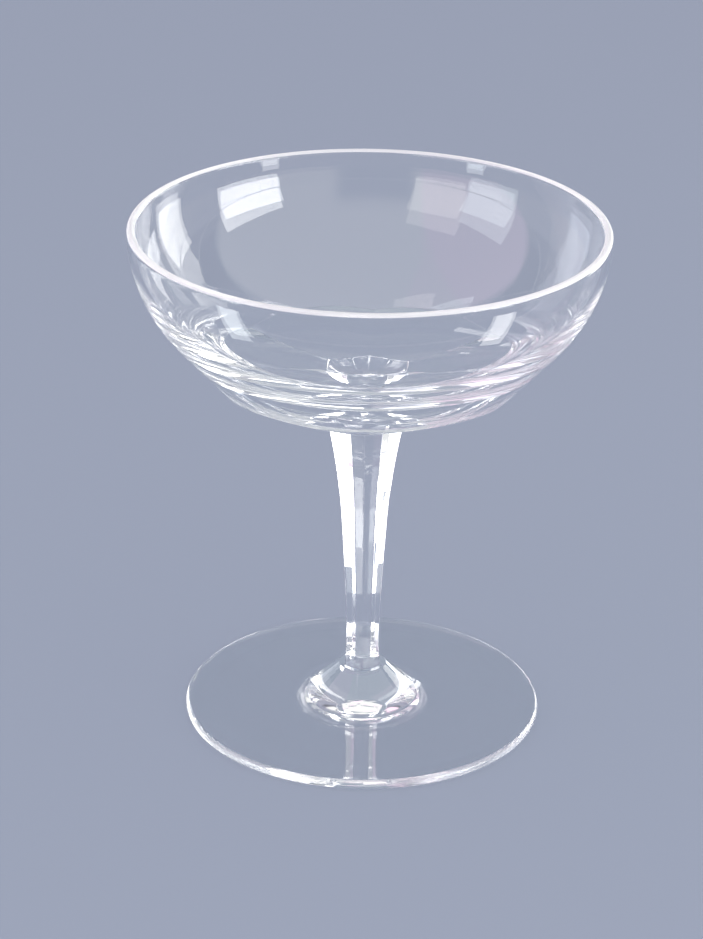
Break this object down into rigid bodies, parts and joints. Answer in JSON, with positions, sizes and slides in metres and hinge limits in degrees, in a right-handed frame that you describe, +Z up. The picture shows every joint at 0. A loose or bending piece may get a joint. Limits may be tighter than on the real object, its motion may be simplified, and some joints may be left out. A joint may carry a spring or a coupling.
{
  "type": "coupe glass",
  "caption": "Clear crystal coupe glass: a wide shallow bowl with flat panels cut beneath it, a waisted faceted stem and a round foot.",
  "frame": {"origin": "centre of the foot, on the plane that the glass stands on", "axes": "+Z up along the stem's axis; one corner of the six-sided stem faces -Y and one flat faces +X"},
  "size_m": [0.1, 0.1, 0.1113],
  "materials": {
    "bowl_glass": "clear polished lead crystal, blown, with polished cut panels",
    "stem_glass": "clear polished lead crystal, solid, cut with flats",
    "foot_glass": "clear polished lead crystal"
  },
  "bodies": {
    "root": {"bowl": "bowl_glass", "stem": "stem_glass", "foot": "foot_glass"}
  },
  "joints": []
}
